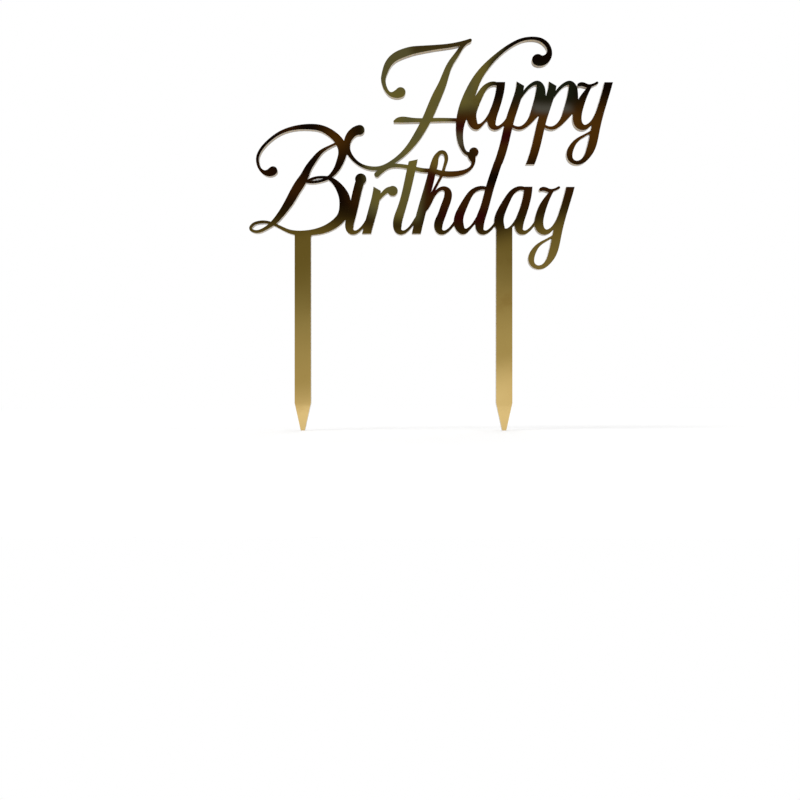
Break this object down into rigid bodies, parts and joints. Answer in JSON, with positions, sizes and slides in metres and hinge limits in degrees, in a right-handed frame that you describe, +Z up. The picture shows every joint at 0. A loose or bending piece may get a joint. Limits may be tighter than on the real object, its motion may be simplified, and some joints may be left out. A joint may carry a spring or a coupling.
{
  "type": "cake topper",
  "caption": "Cake topper: a greeting in joined script lettering, cut from flat gold mirror acrylic, that stands in a cake on flat pointed stakes.",
  "frame": {"origin": "midway between the stakes, in the middle of the sheet's thickness, at the height of the cake's surface", "axes": "+X along the lettering to its right, +Z up, and the lettering faces -Y"},
  "size_m": [0.1456, 0.003, 0.1577],
  "materials": {
    "gold_mirror": "gold mirror face, clear laser-cut edges",
    "back_coat": "satin protective coat"
  },
  "bodies": {
    "root": {"capital_h": "gold_mirror", "upper_a": "gold_mirror", "upper_first_p": "gold_mirror", "upper_second_p": "gold_mirror", "upper_y": "gold_mirror", "capital_b": "gold_mirror", "lower_i": "gold_mirror", "lower_r": "gold_mirror", "lower_t": "gold_mirror", "lower_h": "gold_mirror", "lower_d": "gold_mirror", "lower_a": "gold_mirror", "lower_y": "gold_mirror", "left_stake": "gold_mirror", "right_stake": "gold_mirror", "mirror_backing": "back_coat"}
  },
  "joints": []
}
